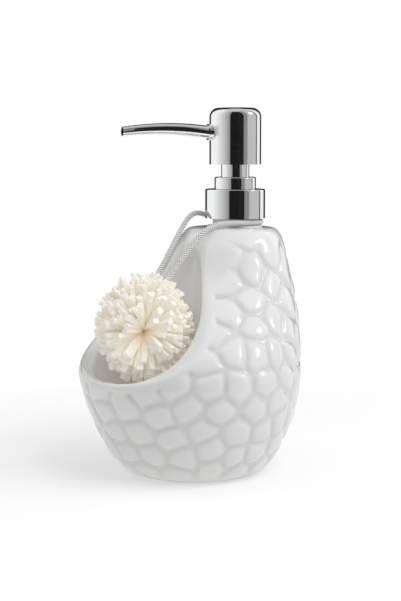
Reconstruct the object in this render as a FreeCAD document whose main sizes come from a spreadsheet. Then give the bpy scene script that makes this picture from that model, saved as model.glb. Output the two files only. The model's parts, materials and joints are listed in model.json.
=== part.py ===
"""Soap pump bottle with a scooped cup, a scrubber in the cup and a cord round the neck.

Millimetres. The origin is the middle of the standing face, +Z is up, the cup faces -Y
and the bottle is alike on both sides of the YZ plane. The pump stands on an upright
axis set back from the origin, and its spout is turned a little to the -X side.
"""
import FreeCAD
import Part
import math
import os
from types import SimpleNamespace

import Sketcher

Vector = FreeCAD.Vector
Rotation = FreeCAD.Rotation
UP = Vector(0, 0, 1)

# Driving dimensions, lengths in millimetres and angles in degrees
SIZES = dict(
    # Bottle outside
    body_height=131.0,
    base_radius=34.5,
    belly_radius=59.8,
    belly_height=58.0,
    belly_advance=3.2,
    shoulder_radius=26.8,
    shoulder_setback=28.5,
    shoulder_round=7.0,
    # Bottle walls
    wall=4.5,
    floor_thick=5.0,
    roof_thick=5.0,
    # Scoop at the front, an arc from its top to the lip
    scoop_top_advance=0.2,
    scoop_top_height=126.0,
    lip_overhang=3.2,
    lip_drop=4.9,
    scoop_sag=10.1,
    rim_round=1.6,
    # Cup hollow, turned about the scoop's chord
    cup_crown_place=15.6,
    cup_crown_radius=10.5,
    cup_lip_gap=32.44,
    cup_belly_radius=31.5,
    cup_side_round=65.0,
    cup_end_round=27.4,
    # Neck
    neck_setback=31.5,
    neck_tube_radius=11.8,
    neck_bore=10.0,
    neck_root_radius=12.3,
    insert_depth=9.0,
    insert_flange_radius=15.0,
    insert_flange_thick=0.9,
    cord_room=4.6,
    thread_pitch=4.23,
    thread_rise=5.7,
    thread_crest_radius=13.7,
    thread_ridge=1.5,
    thread_lead=2.4,
    # Collar
    collar_radius=16.5,
    collar_height=16.0,
    collar_round=0.8,
    shell_wall=0.6,
    liner_bore=14.0,
    liner_recess=0.4,
    liner_plate=1.0,
    liner_thread_radius=12.7,
    # Pump unit
    seat_gap=0.05,
    axial_play=0.1,
    hub_clearance=0.4,
    gasket_thick=1.4,
    flange_radius=12.7,
    flange_thick=1.5,
    hub_radius=10.2,
    well_radius=9.6,
    well_bore=8.2,
    well_floor=1.2,
    cylinder_radius=6.5,
    cylinder_bore=5.3,
    cylinder_length=52.0,
    cylinder_floor=2.0,
    socket_radius=4.2,
    socket_length=12.0,
    bezel_radius=11.4,
    bezel_height=6.5,
    bezel_plate=1.2,
    bezel_round=1.0,
    sleeve_clearance=0.35,
    running_clearance=0.05,
    # Valves, spring and dip tube
    inlet_hole=1.5,
    inlet_ball_radius=2.4,
    inlet_lift=1.5,
    valve_gap=0.1,
    valve_side_gap=0.5,
    cage_plate=1.0,
    cage_hole=1.6,
    spring_radius=3.8,
    spring_wire=0.9,
    spring_turns=6.0,
    dip_radius=3.0,
    dip_bore=2.2,
    dip_lift=7.0,
    # Rod and piston
    stroke=13.0,
    stop_gap=0.4,
    rod_radius=3.0,
    rod_bore=1.5,
    rod_disc_radius=4.2,
    rod_disc_thick=1.5,
    rod_stop_thick=1.2,
    guide_length=11.4,
    piston_height=6.4,
    piston_radius=4.4,
    seal_inset=0.9,
    # Head
    sleeve_radius=7.75,
    sleeve_wall=0.85,
    sleeve_grip=4.6,
    sleeve_seat=8.0,
    head_radius=14.2,
    head_height=30.8,
    head_wall=1.0,
    head_top=1.2,
    head_round=5.0,
    skirt_depth=7.0,
    rod_seat=4.0,
    outlet_ball_radius=2.0,
    outlet_lift=1.1,
    throat_radius=1.3,
    # Spout
    spout_turn=27.0,
    spout_drop=13.3,
    spout_seat=8.5,
    spout_root_radius=3.5,
    spout_root_end=16.0,
    spout_bend_reach=39.6,
    spout_bend_rise=1.7,
    spout_bend_radius=3.1,
    spout_reach=64.0,
    spout_tip_rise=0.2,
    spout_tip_radius=2.5,
    spout_bore=1.6,
    bush_radius=4.4,
    bush_play=0.05,
    # Scrubber
    scrubber_radius=25.5,
    scrubber_half_height=29.5,
    scrubber_rise=7.6,
    scrubber_sink=3.2,
    tie_radius=4.0,
    tie_height=5.0,
    # Cord
    cord_radius=1.5,
    cord_socket_clearance=0.3,
    # Length by which a cutting form passes what it cuts
    overrun=20.0,
)

# Sections from base to belly: height, swelling and advance, each as a share
LOWER_SECTION_SHARES = [
    (0.0, 0.0, 0.0),
    (0.103, 0.304, 0.10),
    (0.345, 0.644, 0.34),
    (0.690, 0.925, 0.75),
    (1.0, 1.0, 1.0),
]
# Sections from belly to shoulder: height, narrowing and setback, each as a share
UPPER_SECTION_SHARES = [
    (0.233, 0.176, 0.246),
    (0.466, 0.473, 0.612),
    (0.712, 0.764, 0.880),
    (0.911, 0.945, 0.975),
]
# Sections round the shoulder: drop and inset from its sharp corner, each as a share
SHOULDER_SECTION_SHARES = [
    (0.5, 0.03),
    (0.15, 0.36),
    (0.035, 0.68),
    (0.0, 1.04),
]
# Width of a thread's crest as a share of its root
THREAD_CREST_SHARE = 0.55

# Route of the cord, chosen by hand: up from the scrubber on the near side, round the
# back of the neck, and down to the scrubber again on the far side
CORD_ROUTE = [
    (3.0, -29.0, 99.5),
    (4.2, -20.5, 109.2),
    (5.3, -13.4, 116.9),
    (6.2, -6.4, 124.0),
    (7.2, 0.0, 130.1),
    (8.5, 8.0, 133.3),
    (10.8, 16.8, 133.7),
    (14.4, 25.4, 133.7),
    (14.3, 37.4, 133.7),
    (5.9, 45.8, 133.8),
    (-6.2, 46.2, 133.8),
    (-15.6, 40.6, 133.7),
    (-20.4, 30.6, 136.4),
    (-18.6, 19.6, 138.6),
    (-15.2, 11.0, 136.6),
    (-13.0, 4.8, 132.6),
    (-11.5, -1.2, 127.1),
    (-9.5, -8.4, 120.0),
    (-8.0, -14.6, 113.4),
    (-6.4, -21.3, 107.7),
    (-4.0, -29.5, 99.0),
]
# Largest share of the shorter run that a rounded corner of the cord takes
CORD_CORNER_SHARE = 0.45


class Size:
    """A number together with the sheet expression that gives it."""

    def __init__(self, value, text):
        self.value = value
        self.text = text

    def __add__(self, other):
        return combine(self, other, "+", lambda a, b: a + b)

    def __sub__(self, other):
        return combine(self, other, "-", lambda a, b: a - b)

    def __mul__(self, other):
        return combine(self, other, "*", lambda a, b: a * b)

    def __truediv__(self, other):
        return combine(self, other, "/", lambda a, b: a / b)

    def __neg__(self):
        return Size(-self.value, "(-%s)" % self.text)


def as_size(number):
    """Let a share or a count stand in a sum of sizes."""
    if isinstance(number, Size):
        return number
    return Size(number, repr(number))


def combine(first, second, sign, work):
    """Join two sizes in value and in expression."""
    first = as_size(first)
    second = as_size(second)
    text = "(%s %s %s)" % (first.text, sign, second.text)
    return Size(work(first.value, second.value), text)


def root(size):
    """Square root of a size."""
    return Size(math.sqrt(size.value), "sqrt(%s)" % size.text)


def steepness(rise, run):
    """Turn about X that lays an upright axis down a slope towards -Y."""
    angle = 90.0 + math.degrees(math.atan(rise.value / run.value))
    return Size(angle, "(90 deg + atan(%s / %s))" % (rise.text, run.text))


doc = FreeCAD.newDocument("soap_pump_caddy")
sheet = doc.addObject("Spreadsheet::Sheet", "Sizes")
d = SimpleNamespace()
for row, (name, value) in enumerate(SIZES.items(), start=1):
    sheet.set("A%d" % row, name)
    sheet.set("B%d" % row, str(value))
    sheet.setAlias("B%d" % row, name)
    setattr(d, name, Size(value, "Sizes." + name))
doc.recompute()

# Heights of the pump stack, from the bottle's top upwards
collar_bottom = d.body_height + d.cord_room
collar_top = collar_bottom + d.collar_height
liner_top = collar_top - d.shell_wall
plate_bottom = liner_top - d.liner_plate
flange_top = plate_bottom - d.axial_play
flange_bottom = flange_top - d.flange_thick
gasket_bottom = flange_bottom - d.gasket_thick
neck_top = gasket_bottom - d.seat_gap
bezel_bottom = collar_top + d.axial_play
bezel_top = bezel_bottom + d.bezel_height
hub_top = bezel_top - d.bezel_plate
head_bottom = collar_top + d.stroke + d.stop_gap
head_top = head_bottom + d.head_height
core_bottom = head_bottom + d.skirt_depth
core_top = head_top - d.head_top
spout_height = head_top - d.spout_drop

# Heights inside the pump cylinder
sleeve_bottom = bezel_top - d.sleeve_grip
well_bottom = sleeve_bottom - d.stroke - d.stop_gap
cylinder_top = well_bottom - d.well_floor
cylinder_bottom = cylinder_top - d.cylinder_length
floor_top = cylinder_bottom + d.cylinder_floor
inlet_ball_rest = root(d.inlet_ball_radius * d.inlet_ball_radius - d.inlet_hole * d.inlet_hole)
inlet_ball_height = floor_top + inlet_ball_rest + d.valve_gap
cage_plate_bottom = inlet_ball_height + d.inlet_ball_radius + d.inlet_lift + d.valve_gap
cage_top = cage_plate_bottom + d.cage_plate
guide_bottom = well_bottom - d.guide_length
rod_stop_top = guide_bottom - d.axial_play
rod_stop_bottom = rod_stop_top - d.rod_stop_thick
piston_top = rod_stop_bottom - d.seat_gap
piston_bottom = piston_top - d.piston_height
rod_disc_top = piston_bottom - d.seat_gap
rod_bottom = rod_disc_top - d.rod_disc_thick
rod_top = core_bottom + d.rod_seat
outlet_ball_rest = root(d.outlet_ball_radius * d.outlet_ball_radius - d.rod_bore * d.rod_bore)
outlet_ball_height = rod_top + outlet_ball_rest + d.valve_gap
chamber_top = outlet_ball_height + d.outlet_ball_radius + d.outlet_lift + d.valve_gap
dip_bottom = d.floor_thick + d.dip_lift
thread_start = collar_bottom + d.thread_lead

# Slope of the scoop, from its top to the lip
lip_advance = d.belly_radius + d.belly_advance + d.lip_overhang
lip_height = d.belly_height - d.lip_drop
scoop_run = lip_advance - d.scoop_top_advance
scoop_fall = d.scoop_top_height - lip_height
scoop_chord_square = scoop_run * scoop_run + scoop_fall * scoop_fall
scoop_chord = root(scoop_chord_square)
scoop_radius = (scoop_chord_square / 4 + d.scoop_sag * d.scoop_sag) / (d.scoop_sag * 2)
cup_belly_place = scoop_chord - d.cup_lip_gap

# Middle of the scrubber, up the slope from the cup's widest place and sunk below it
scrubber_place = cup_belly_place - d.scrubber_rise
scrubber_forward = (scrubber_place * scoop_run - d.scrubber_sink * scoop_fall) / scoop_chord
scrubber_down = (scrubber_place * scoop_fall + d.scrubber_sink * scoop_run) / scoop_chord
scrubber_advance = d.scoop_top_advance + scrubber_forward
scrubber_height = d.scoop_top_height - scrubber_down


def new_body(label):
    """Empty body with its label."""
    made = doc.addObject("PartDesign::Body", label)
    made.Label = label
    return made


def new_sketch(owner, name, role, offset=None):
    """Sketch on one of the body's own planes, moved along the plane's normal by offset."""
    made = owner.newObject("Sketcher::SketchObject", name)
    plane = next(item for item in owner.Origin.OriginFeatures if item.Role == role)
    made.AttachmentSupport = [(plane, "")]
    made.MapMode = "FlatFace"
    if offset is not None:
        made.AttachmentOffset = FreeCAD.Placement(Vector(0, 0, offset.value), Rotation())
        made.setExpression("AttachmentOffset.Base.z", offset.text)
    return made


def bind(sketch, constraint, size):
    """Add a sketch dimension whose value follows the sheet."""
    index = sketch.addConstraint(constraint)
    sketch.setExpression("Constraints[%d]" % index, size.text)


def pin(sketch, shape, point, x, y):
    """Hold a point of a sketch at x and y, where None lies on the axis."""
    if x is None:
        sketch.addConstraint(Sketcher.Constraint("PointOnObject", shape, point, -2))
    else:
        bind(sketch, Sketcher.Constraint("DistanceX", -1, 1, shape, point, x.value), x)
    if y is None:
        sketch.addConstraint(Sketcher.Constraint("PointOnObject", shape, point, -1))
    else:
        bind(sketch, Sketcher.Constraint("DistanceY", -1, 1, shape, point, y.value), y)


def flat_point(x, y):
    """Point of a sketch from two sizes, where None is zero."""
    return Vector(x.value if x else 0, y.value if y else 0, 0)


def polygon(sketch, corners):
    """Closed outline of straight sides through pinned corners."""
    first = sketch.GeometryCount
    count = len(corners)
    for index, corner in enumerate(corners):
        following = corners[(index + 1) % count]
        sketch.addGeometry(Part.LineSegment(flat_point(*corner), flat_point(*following)), False)
    for index, corner in enumerate(corners):
        here = first + index
        following = first + (index + 1) % count
        sketch.addConstraint(Sketcher.Constraint("Coincident", here, 2, following, 1))
        pin(sketch, here, 1, *corner)


def circle(sketch, x, y, radius):
    """Circle with a pinned centre."""
    made = sketch.addGeometry(Part.Circle(flat_point(x, y), UP, radius.value), False)
    pin(sketch, made, 3, x, y)
    bind(sketch, Sketcher.Constraint("Radius", made, radius.value), radius)


def half_hoops(sketch, y, radius):
    """Circle about x = 0 in a front and a back half, which meet at its sides."""
    whole = Part.Circle(flat_point(None, y), UP, radius.value)
    back = sketch.addGeometry(Part.ArcOfCircle(whole, 0, math.pi), False)
    front = sketch.addGeometry(Part.ArcOfCircle(whole, math.pi, 2 * math.pi), False)
    pin(sketch, back, 3, None, y)
    bind(sketch, Sketcher.Constraint("Radius", back, radius.value), radius)
    sketch.addConstraint(Sketcher.Constraint("Coincident", back, 3, front, 3))
    sketch.addConstraint(Sketcher.Constraint("Coincident", back, 1, front, 2))
    sketch.addConstraint(Sketcher.Constraint("Coincident", back, 2, front, 1))
    sketch.addConstraint(Sketcher.Constraint("Horizontal", back, 1, back, 3))
    sketch.addConstraint(Sketcher.Constraint("Horizontal", back, 2, back, 3))


def on_neck_axis(item):
    """Move an upright piece to the pump's axis."""
    item.setExpression("Placement.Base.y", d.neck_setback.text)
    return item


def on_spout_side(item):
    """Move a piece of the head to the pump's axis and turn it with the spout."""
    on_neck_axis(item)
    item.Placement = FreeCAD.Placement(Vector(), Rotation(UP, -d.spout_turn.value))
    item.setExpression("Placement.Rotation.Angle", (-d.spout_turn).text)
    return item


def turned(label, corners):
    """Body turned about its own Z axis from corners of radius and height."""
    made = new_body(label)
    profile = new_sketch(made, label + "_profile", "XZ_Plane")
    polygon(profile, corners)
    spin = made.newObject("PartDesign::Revolution", label + "_turned")
    spin.Profile = profile
    spin.ReferenceAxis = (profile, ["V_Axis"])
    spin.Angle = 360
    doc.recompute()
    return made


def ring(label, inner, outer, bottom, top):
    """Plain tube or washer."""
    return turned(label, [(inner, bottom), (outer, bottom), (outer, top), (inner, top)])


def round_edges(owner, name, radius, chosen):
    """Round the edges of a body's last feature for which chosen is true."""
    base = owner.Tip
    names = []
    for index, edge in enumerate(base.Shape.Edges, start=1):
        if chosen(edge):
            names.append("Edge%d" % index)
    made = owner.newObject("PartDesign::Fillet", name)
    made.Base = (base, names)
    made.Radius = radius.value
    made.setExpression("Radius", radius.text)
    doc.recompute()
    return made


def is_hoop(radius, height):
    """Test for a level round edge of one radius at one height, whole or half."""
    near = d.seat_gap.value / 2

    def test(edge):
        box = edge.BoundBox
        level = box.ZLength < near and abs(box.ZMin - height.value) < near
        return level and abs(box.XLength / 2 - radius.value) < near

    return test


def add_helix(owner, name, corners, rise):
    """Thread ridge that climbs right-handed by the thread's pitch."""
    profile = new_sketch(owner, name + "_profile", "XZ_Plane")
    polygon(profile, corners)
    made = owner.newObject("PartDesign::AdditiveHelix", name)
    made.Profile = profile
    made.ReferenceAxis = (profile, ["V_Axis"])
    made.Mode = "pitch-height-angle"
    made.setExpression("Pitch", d.thread_pitch.text)
    made.setExpression("Height", rise.text)
    made.LeftHanded = False
    doc.recompute()
    return made


def ridge(root_radius, crest_radius, height):
    """Corners of a thread's ridge, wide at its root."""
    half_root = d.thread_ridge / 2
    half_crest = half_root * THREAD_CREST_SHARE
    return [
        (root_radius, height - half_root),
        (crest_radius, height - half_crest),
        (crest_radius, height + half_crest),
        (root_radius, height + half_root),
    ]


# Bottle


def body_sections():
    """Height, radius and Y of the bottle's round sections, from base to shoulder."""
    swelling = d.belly_radius - d.base_radius
    sections = []
    for height_share, radius_share, advance_share in LOWER_SECTION_SHARES:
        height = d.belly_height * height_share
        radius = d.base_radius + swelling * radius_share
        sections.append((height, radius, -(d.belly_advance * advance_share)))
    upper_height = d.body_height - d.belly_height
    narrowing = d.belly_radius - d.shoulder_radius
    setback = d.belly_advance + d.shoulder_setback
    for height_share, radius_share, setback_share in UPPER_SECTION_SHARES:
        height = d.belly_height + upper_height * height_share
        radius = d.belly_radius - narrowing * radius_share
        sections.append((height, radius, setback * setback_share - d.belly_advance))
    for drop_share, inset_share in SHOULDER_SECTION_SHARES:
        height = d.body_height - d.shoulder_round * drop_share
        radius = d.shoulder_radius - d.shoulder_round * inset_share
        sections.append((height, radius, d.shoulder_setback))
    return sections


def lofted(label, sections):
    """Body lofted through round level sections."""
    made = new_body(label)
    hoops = []
    for index, (height, radius, y) in enumerate(sections):
        hoop = new_sketch(made, "%s_hoop_%d" % (label, index), "XY_Plane", height)
        half_hoops(hoop, y if y.value else None, radius)
        hoops.append(hoop)
    loft = made.newObject("PartDesign::AdditiveLoft", label + "_loft")
    loft.Profile = hoops[0]
    loft.Sections = hoops[1:]
    doc.recompute()
    return made


def cut_scoop(owner):
    """Cut the front away above an arc that falls from the scoop's top to the lip."""
    outline = new_sketch(owner, "scoop_outline", "YZ_Plane")
    top = (-d.scoop_top_advance, d.scoop_top_height)
    lip = (-lip_advance, lip_height)
    above = d.body_height + d.overrun
    ahead = -(lip_advance + d.overrun)
    corners = [lip, (ahead, lip_height), (ahead, above), (-d.scoop_top_advance, above), top]
    for start, end in zip(corners, corners[1:]):
        outline.addGeometry(Part.LineSegment(flat_point(*start), flat_point(*end)), False)
    last = outline.GeometryCount - 1
    middle = (flat_point(*top) + flat_point(*lip)) * 0.5
    outward = Vector(-scoop_fall.value, scoop_run.value, 0) / scoop_chord.value
    centre = middle + outward * (scoop_radius - d.scoop_sag).value
    from_centre = [flat_point(*lip) - centre, flat_point(*top) - centre]
    angles = [math.atan2(arm.y, arm.x) for arm in from_centre]
    full_circle = Part.Circle(centre, UP, scoop_radius.value)
    curve = outline.addGeometry(Part.ArcOfCircle(full_circle, *angles), False)
    for index, corner in enumerate(corners[:-1]):
        pin(outline, index, 1, *corner)
    pin(outline, last, 2, *top)
    for index in range(last):
        outline.addConstraint(Sketcher.Constraint("Coincident", index, 2, index + 1, 1))
    outline.addConstraint(Sketcher.Constraint("Coincident", 0, 1, curve, 1))
    outline.addConstraint(Sketcher.Constraint("Coincident", last, 2, curve, 2))
    bind(outline, Sketcher.Constraint("Radius", curve, scoop_radius.value), scoop_radius)
    pocket = owner.newObject("PartDesign::Pocket", "scoop")
    pocket.Profile = outline
    pocket.SideType = "Symmetric"
    pocket.Type = "Length"
    pocket.setExpression("Length", (d.belly_radius * 2 + d.overrun).text)
    doc.recompute()


def cup_form(label, extra):
    """Egg-shaped hollow of the cup about the scoop's chord, enlarged by extra."""
    made = new_body(label)
    profile = new_sketch(made, label + "_profile", "XZ_Plane")
    crown = d.cup_crown_radius + extra
    side = d.cup_side_round + extra
    end = d.cup_end_round + extra
    widest = d.cup_belly_radius + extra
    side_centre = d.cup_belly_radius - d.cup_side_round
    end_centre = d.cup_belly_radius - d.cup_end_round
    # Common tangent of the crown circle and the side arc, for the first drawing
    gap = Vector(side_centre.value, (cup_belly_place - d.cup_crown_place).value, 0)
    lean = math.acos((side.value - crown.value) / gap.Length)
    normal_angle = math.atan2(gap.y, gap.x) - math.pi + lean
    crown_middle = Vector(0, d.cup_crown_place.value, 0)
    side_middle = Vector(side_centre.value, cup_belly_place.value, 0)
    end_middle = Vector(end_centre.value, cup_belly_place.value, 0)
    tip_angle = math.acos(-end_centre.value / end.value)
    crown_arc = Part.ArcOfCircle(
        Part.Circle(crown_middle, UP, crown.value), -math.pi / 2, normal_angle)
    side_arc = Part.ArcOfCircle(Part.Circle(side_middle, UP, side.value), normal_angle, 0)
    end_arc = Part.ArcOfCircle(Part.Circle(end_middle, UP, end.value), 0, tip_angle)
    flank = Part.LineSegment(crown_arc.EndPoint, side_arc.StartPoint)
    axis = Part.LineSegment(end_arc.EndPoint, crown_arc.StartPoint)
    for item in (crown_arc, flank, side_arc, end_arc, axis):
        profile.addGeometry(item, False)
    profile.addConstraint(Sketcher.Constraint("Tangent", 0, 2, 1, 1))
    profile.addConstraint(Sketcher.Constraint("Tangent", 1, 2, 2, 1))
    profile.addConstraint(Sketcher.Constraint("Coincident", 2, 2, 3, 1))
    profile.addConstraint(Sketcher.Constraint("Coincident", 3, 2, 4, 1))
    profile.addConstraint(Sketcher.Constraint("Coincident", 4, 2, 0, 1))
    pin(profile, 0, 3, None, d.cup_crown_place)
    profile.addConstraint(Sketcher.Constraint("PointOnObject", 0, 1, -2))
    profile.addConstraint(Sketcher.Constraint("PointOnObject", 3, 2, -2))
    bind(profile, Sketcher.Constraint("Radius", 0, crown.value), crown)
    pin(profile, 2, 2, widest, cup_belly_place)
    place = cup_belly_place
    for arc, radius in ((2, side), (3, end)):
        bind(profile, Sketcher.Constraint("DistanceY", -1, 1, arc, 3, place.value), place)
        bind(profile, Sketcher.Constraint("Radius", arc, radius.value), radius)
    spin = made.newObject("PartDesign::Revolution", label + "_turned")
    spin.Profile = profile
    spin.ReferenceAxis = (profile, ["V_Axis"])
    spin.Angle = 360
    slope = steepness(scoop_fall, scoop_run)
    made.Placement = FreeCAD.Placement(Vector(), Rotation(Vector(1, 0, 0), slope.value))
    made.setExpression("Placement.Rotation.Angle", slope.text)
    made.setExpression("Placement.Base.y", (-d.scoop_top_advance).text)
    made.setExpression("Placement.Base.z", d.scoop_top_height.text)
    doc.recompute()
    return made


def take_away(owner, name, tool):
    """Cut one body out of another."""
    made = owner.newObject("PartDesign::Boolean", name)
    made.Type = "Cut"
    made.addObjects([tool])
    doc.recompute()
    return made


def reservoir_form():
    """Space for the soap: the bottle's form drawn in by its walls, behind the cup's wall."""
    inner_rise = d.body_height - d.floor_thick - d.roof_thick
    sections = []
    for height, radius, y in body_sections():
        inner_height = d.floor_thick + height * (inner_rise / d.body_height)
        sections.append((inner_height, radius - d.wall, y))
    made = lofted("reservoir_form", sections)
    take_away(made, "cup_wall", cup_form("cup_wall_form", d.wall))
    return made


def ceramic_body():
    """Stoneware bottle with its scoop, cup, rim, soap space and neck hole."""
    made = lofted("ceramic_body", body_sections())
    cut_scoop(made)
    take_away(made, "cup", cup_form("cup_form", as_size(0)))
    near = d.seat_gap.value / 10
    rim = []
    for face in made.Tip.Shape.Faces:
        surface = face.Surface
        if isinstance(surface, Part.Cylinder) and abs(surface.Radius - scoop_radius.value) < near:
            rim.extend(face.Edges)
    round_edges(made, "rim", d.rim_round, lambda edge: any(edge.isSame(one) for one in rim))
    take_away(made, "reservoir", reservoir_form())
    hole = new_sketch(made, "neck_hole_outline", "XY_Plane", d.body_height + d.overrun)
    circle(hole, None, d.neck_setback, d.neck_tube_radius)
    pocket = made.newObject("PartDesign::Pocket", "neck_hole")
    pocket.Profile = hole
    pocket.Type = "Length"
    pocket.setExpression("Length", (d.overrun + d.roof_thick * 2).text)
    doc.recompute()
    return made


def neck_insert():
    """Plastic neck in the bottle's hole, with its flange and thread."""
    made = turned("neck_insert", [
        (d.neck_bore, d.body_height - d.insert_depth),
        (d.neck_tube_radius, d.body_height - d.insert_depth),
        (d.neck_tube_radius, d.body_height),
        (d.insert_flange_radius, d.body_height),
        (d.insert_flange_radius, d.body_height + d.insert_flange_thick),
        (d.neck_root_radius, d.body_height + d.insert_flange_thick),
        (d.neck_root_radius, neck_top),
        (d.neck_bore, neck_top),
    ])
    sunk = d.neck_root_radius - d.seat_gap
    add_helix(made, "neck_thread", ridge(sunk, d.thread_crest_radius, thread_start), d.thread_rise)
    return on_neck_axis(made)


# Collar


def collar_shell():
    """Chromed skirt of the closure."""
    hole = d.hub_radius + d.hub_clearance
    inside = d.collar_radius - d.shell_wall
    made = turned("collar_shell", [
        (inside, collar_bottom),
        (d.collar_radius, collar_bottom),
        (d.collar_radius, collar_top),
        (hole, collar_top),
        (hole, liner_top),
        (inside, liner_top),
    ])
    at_top = is_hoop(d.collar_radius, collar_top)
    round_edges(made, "collar_edge", d.collar_round, at_top)
    return on_neck_axis(made)


def collar_liner():
    """Plastic liner of the closure, threaded inside."""
    hole = d.hub_radius + d.hub_clearance
    outside = d.collar_radius - d.shell_wall
    bottom = collar_bottom + d.liner_recess
    made = turned("collar_liner", [
        (d.liner_bore, bottom),
        (outside, bottom),
        (outside, liner_top),
        (hole, liner_top),
        (hole, plate_bottom),
        (d.liner_bore, plate_bottom),
    ])
    sunk = d.liner_bore + d.seat_gap
    height = thread_start + d.thread_pitch / 2
    add_helix(made, "liner_thread", ridge(sunk, d.liner_thread_radius, height), d.thread_rise)
    return on_neck_axis(made)


# Pump unit


def pump_cylinder():
    """Cylinder with its flange, hub, sleeve well and dip tube socket."""
    return on_neck_axis(turned("pump_cylinder", [
        (d.inlet_hole, cylinder_bottom),
        (d.dip_radius, cylinder_bottom),
        (d.dip_radius, cylinder_bottom - d.socket_length),
        (d.socket_radius, cylinder_bottom - d.socket_length),
        (d.socket_radius, cylinder_bottom),
        (d.cylinder_radius, cylinder_bottom),
        (d.cylinder_radius, cylinder_top),
        (d.well_radius, cylinder_top),
        (d.well_radius, flange_bottom),
        (d.flange_radius, flange_bottom),
        (d.flange_radius, flange_top),
        (d.hub_radius, flange_top),
        (d.hub_radius, hub_top),
        (d.well_bore, hub_top),
        (d.well_bore, well_bottom),
        (d.cylinder_bore, well_bottom),
        (d.cylinder_bore, floor_top),
        (d.inlet_hole, floor_top),
    ]))


def neck_gasket():
    """Flat seal under the pump's flange."""
    return on_neck_axis(
        ring("neck_gasket", d.well_radius, d.flange_radius, gasket_bottom, flange_bottom))


def rod_guide():
    """Plug in the cylinder's top that guides the rod and stops its upstroke."""
    bore = d.rod_radius + d.running_clearance
    return on_neck_axis(ring("rod_guide", bore, d.cylinder_bore, guide_bottom, well_bottom))


def guide_bezel():
    """Chromed ring over the hub."""
    made = turned("guide_bezel", [
        (d.hub_radius, bezel_bottom),
        (d.bezel_radius, bezel_bottom),
        (d.bezel_radius, bezel_top),
        (d.sleeve_radius + d.sleeve_clearance, bezel_top),
        (d.sleeve_radius + d.sleeve_clearance, hub_top),
        (d.hub_radius, hub_top),
    ])
    at_top = is_hoop(d.bezel_radius, bezel_top)
    round_edges(made, "bezel_edge", d.bezel_round, at_top)
    return on_neck_axis(made)


def ball_cage():
    """Cup that holds the inlet ball down and carries the spring."""
    chamber = d.inlet_ball_radius + d.valve_side_gap
    return on_neck_axis(turned("ball_cage", [
        (chamber, floor_top),
        (d.cylinder_bore, floor_top),
        (d.cylinder_bore, cage_top),
        (d.cage_hole, cage_top),
        (d.cage_hole, cage_plate_bottom),
        (chamber, cage_plate_bottom),
    ]))


def ball(label, radius, height):
    """Valve ball on the pump's axis."""
    made = doc.addObject("Part::Sphere", label)
    made.Label = label
    made.setExpression("Radius", radius.text)
    made.setExpression("Placement.Base.z", height.text)
    return on_neck_axis(made)


def return_spring():
    """Spring between the ball cage and the rod's disc."""
    made = new_body("return_spring")
    wire = new_sketch(made, "spring_wire_outline", "XZ_Plane")
    half_wire = d.spring_wire / 2
    circle(wire, d.spring_radius, cage_top + half_wire, half_wire)
    coil = made.newObject("PartDesign::AdditiveHelix", "spring_coil")
    coil.Profile = wire
    coil.ReferenceAxis = (wire, ["V_Axis"])
    coil.Mode = "height-turns-angle"
    coil.setExpression("Height", (rod_bottom - cage_top - d.spring_wire).text)
    coil.setExpression("Turns", d.spring_turns.text)
    doc.recompute()
    return on_neck_axis(made)


def dip_tube():
    """Tube from the cylinder's socket to the floor of the soap space."""
    return on_neck_axis(ring("dip_tube", d.dip_bore, d.dip_radius, dip_bottom, cylinder_bottom))


# Rod and piston


def pump_rod():
    """Hollow rod with the disc under the piston and the stop above it."""
    return on_neck_axis(turned("pump_rod", [
        (d.rod_bore, rod_bottom),
        (d.rod_disc_radius, rod_bottom),
        (d.rod_disc_radius, rod_disc_top),
        (d.rod_radius, rod_disc_top),
        (d.rod_radius, rod_stop_bottom),
        (d.rod_disc_radius, rod_stop_bottom),
        (d.rod_disc_radius, rod_stop_top),
        (d.rod_radius, rod_stop_top),
        (d.rod_radius, rod_top),
        (d.rod_bore, rod_top),
    ]))


def piston():
    """Ring that floats on the rod between its disc and its stop."""
    bore = d.rod_radius + d.running_clearance
    return on_neck_axis(ring("piston", bore, d.piston_radius, piston_bottom, piston_top))


def piston_seal():
    """Sealing ring on the piston."""
    outside = d.cylinder_bore - d.running_clearance
    bottom = piston_bottom + d.seal_inset
    top = piston_top - d.seal_inset
    return on_neck_axis(ring("piston_seal", d.piston_radius, outside, bottom, top))


# Head and spout


def stem_sleeve():
    """Chromed tube between the head and the bezel."""
    inside = d.sleeve_radius - d.sleeve_wall
    top = core_bottom + d.sleeve_seat
    return on_spout_side(ring("stem_sleeve", inside, d.sleeve_radius, sleeve_bottom, top))


def drill_for_spout(owner, name, radius, start, end):
    """Bore along the spout's line between two distances from the pump's axis."""
    outline = new_sketch(owner, name + "_outline", "XZ_Plane", end)
    circle(outline, None, spout_height, radius)
    pocket = owner.newObject("PartDesign::Pocket", name)
    pocket.Profile = outline
    pocket.Type = "Length"
    pocket.setExpression("Length", (end - start).text)
    doc.recompute()


def head_shell():
    """Chromed cap with a hollow skirt and a hole for the spout's bush."""
    inside = d.head_radius - d.head_wall
    made = turned("head_shell", [
        (inside, head_bottom),
        (d.head_radius, head_bottom),
        (d.head_radius, head_top),
        (None, head_top),
        (None, core_top),
        (inside, core_top),
    ])
    round_edges(made, "head_edge", d.head_round, is_hoop(d.head_radius, head_top))
    inner_round = d.head_round - d.head_wall
    round_edges(made, "head_inner_edge", inner_round, is_hoop(inside, core_top))
    drill_for_spout(made, "bush_hole", d.bush_radius, d.spout_seat, d.head_radius + d.overrun)
    return on_spout_side(made)


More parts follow.
